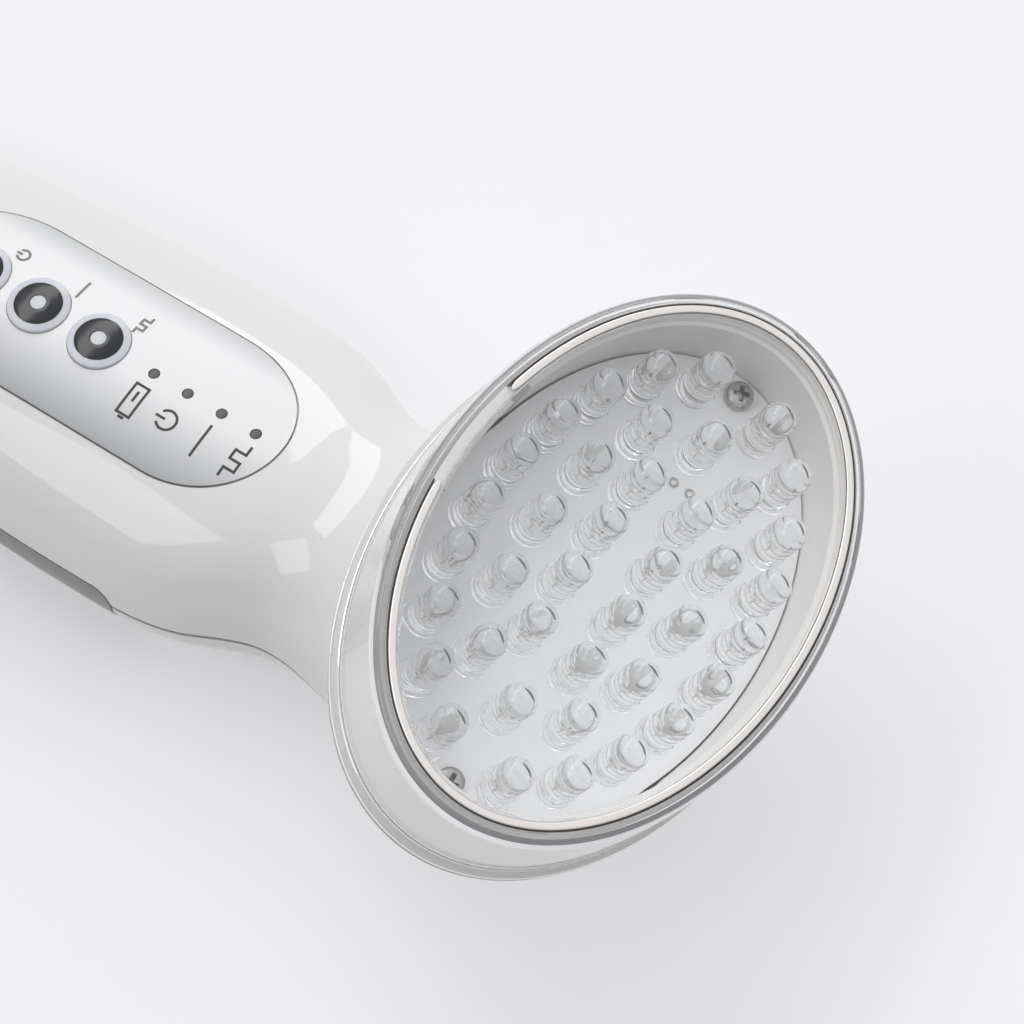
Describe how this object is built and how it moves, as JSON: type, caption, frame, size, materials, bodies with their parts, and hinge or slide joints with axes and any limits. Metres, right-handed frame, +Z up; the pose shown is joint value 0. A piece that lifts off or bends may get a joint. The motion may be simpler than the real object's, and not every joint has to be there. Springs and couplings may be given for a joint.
{
  "type": "led beauty device",
  "caption": "Hand-held light therapy device with an oval clear-capped lamp head on a bent neck, and an egg-shaped handle with a silver key panel.",
  "frame": {"origin": "centre of the device's footprint, on the floor it lies on", "axes": "+X from the tail of the handle to the lamp head, +Y across the device, +Z up; the lamps shine up and a little towards +X"},
  "size_m": [0.2132, 0.0886, 0.0727],
  "materials": {
    "white_gloss_plastic": "glossy white injection moulding",
    "warm_white_plastic": "satin warm white",
    "clear_plastic": "clear polished plastic",
    "satin_steel": "satin, warm",
    "white_board": "white solder mask with clear lamps",
    "screw_steel": "plated",
    "silver_label": "satin silver print",
    "key_translucent_grey": "satin, slightly translucent",
    "key_black_gloss": "glossy black insert",
    "lens_grey": "smoke grey",
    "grip_grey": "satin grey",
    "board_green": "green solder mask",
    "black_plastic": "matte black",
    "cell_wrap": "blue shrink sleeve",
    "lead_grey": "grey insulation",
    "lead_red": "red insulation"
  },
  "bodies": {
    "housing": {"battery": "cell_wrap", "battery_lead": "lead_red", "case_screw_front_left": "screw_steel", "case_screw_front_right": "screw_steel", "case_screw_rear_left": "screw_steel", "case_screw_rear_right": "screw_steel", "charge_socket": "black_plastic", "control_board": "board_green", "control_board_screw_front": "screw_steel", "control_board_screw_rear": "screw_steel", "front_ring": "satin_steel", "label_plate": "silver_label", "lamp_board": "white_board", "lamp_board_screw_left": "screw_steel", "lamp_board_screw_right": "screw_steel", "lamp_lead": "lead_grey", "lamp_well": "warm_white_plastic", "lens_cap": "clear_plastic", "light_pipe_charge": "lens_grey", "light_pipe_continuous": "lens_grey", "light_pipe_power": "lens_grey", "light_pipe_pulse": "lens_grey", "lower_shell": "white_gloss_plastic", "rear_grip": "grip_grey", "socket_lead": "lead_red", "switch_continuous": "black_plastic", "switch_power": "black_plastic", "switch_pulse": "black_plastic", "upper_shell": "white_gloss_plastic"},
    "key_power": {"key_power": "key_translucent_grey", "key_ring_power": "key_black_gloss"},
    "key_continuous": {"key_continuous": "key_translucent_grey", "key_ring_continuous": "key_black_gloss"},
    "key_pulse": {"key_pulse": "key_translucent_grey", "key_ring_pulse": "key_black_gloss"}
  },
  "joints": [
    {"name": "press_power", "type": "slide", "parent": "housing", "child": "key_power", "axis": [0, 0, -1], "range_m": [0, 0.0005], "stiffness_N_per_m": 600},
    {"name": "press_continuous", "type": "slide", "parent": "housing", "child": "key_continuous", "axis": [0, 0, -1], "range_m": [0, 0.0005], "stiffness_N_per_m": 600},
    {"name": "press_pulse", "type": "slide", "parent": "housing", "child": "key_pulse", "axis": [0, 0, -1], "range_m": [0, 0.0005], "stiffness_N_per_m": 600}
  ]
}
